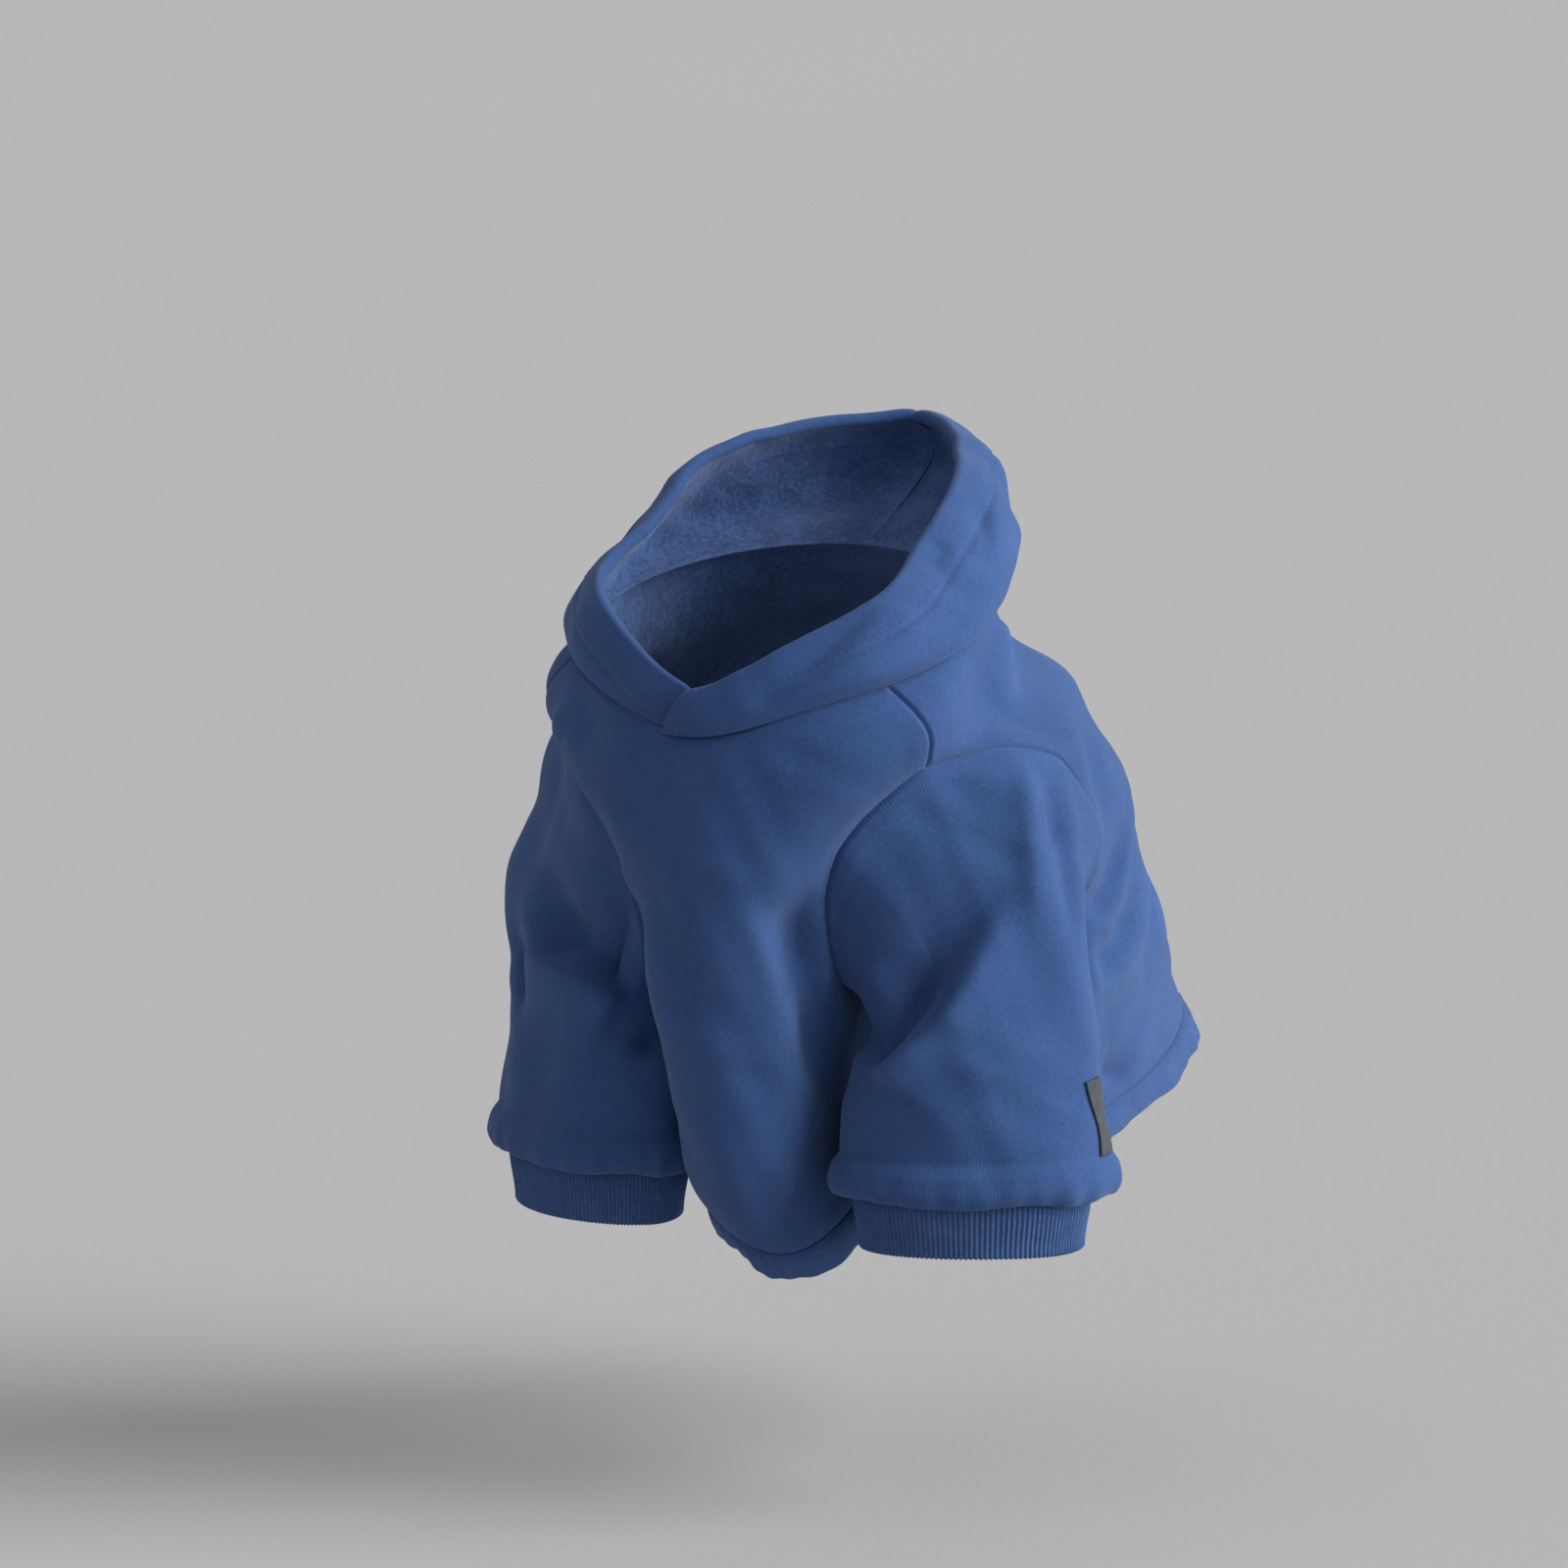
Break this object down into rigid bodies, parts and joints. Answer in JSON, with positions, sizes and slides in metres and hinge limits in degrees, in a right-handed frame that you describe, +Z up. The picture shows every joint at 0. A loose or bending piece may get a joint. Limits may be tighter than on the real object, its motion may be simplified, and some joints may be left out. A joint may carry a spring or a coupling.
{
  "type": "dog hoodie",
  "caption": "Pullover dog hoodie in its worn shape: crossed hood, closed body open at the rear hem, wide short sleeves with ribbed cuffs.",
  "frame": {"origin": "middle of the back neckline, at the withers, where the garment hangs on its wearer", "axes": "+Z up, -Y the way the wearer faces, +X the wearer's left; the middle plane is X = 0"},
  "size_m": [0.2296, 0.2822, 0.2732],
  "materials": {
    "fleece": "matt brushed sweatshirt fleece",
    "rib_knit": "matt rib knit",
    "woven_tape": "matt woven tape"
  },
  "bodies": {
    "root": {"front_panel": "fleece", "back_panel": "fleece", "hem_band": "fleece", "sleeve_left": "fleece", "sleeve_right": "fleece", "hood_left": "fleece", "hood_right": "fleece", "cuff_left": "rib_knit", "cuff_right": "rib_knit", "sleeve_label": "woven_tape"}
  },
  "joints": []
}
